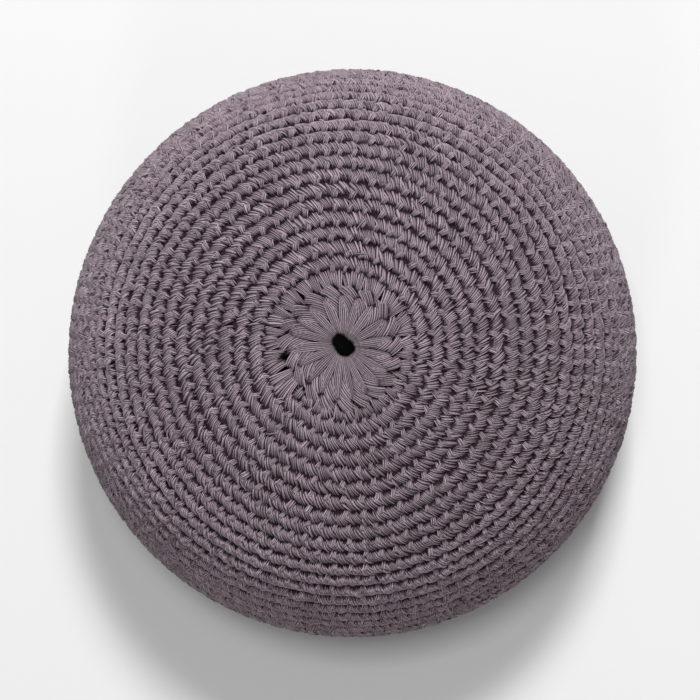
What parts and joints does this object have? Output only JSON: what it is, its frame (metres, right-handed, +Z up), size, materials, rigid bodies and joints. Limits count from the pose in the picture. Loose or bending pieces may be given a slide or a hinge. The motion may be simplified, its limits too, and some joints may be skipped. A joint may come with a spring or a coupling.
{
  "type": "kufi",
  "caption": "Round brimless crocheted skullcap with a softly domed crown, a near upright side, spiral rounds as ribs and a small hole at the middle of the crown.",
  "frame": {"origin": "middle of the rim, on the surface that the cap rests on", "axes": "+Z up through the middle of the crown; the cap is round, so +X and +Y are any two directions across it"},
  "size_m": [0.1898, 0.1898, 0.103],
  "materials": {
    "yarn": "matt crocheted multi-strand yarn, mauve grey"
  },
  "bodies": {
    "root": {"cap": "yarn"}
  },
  "joints": []
}
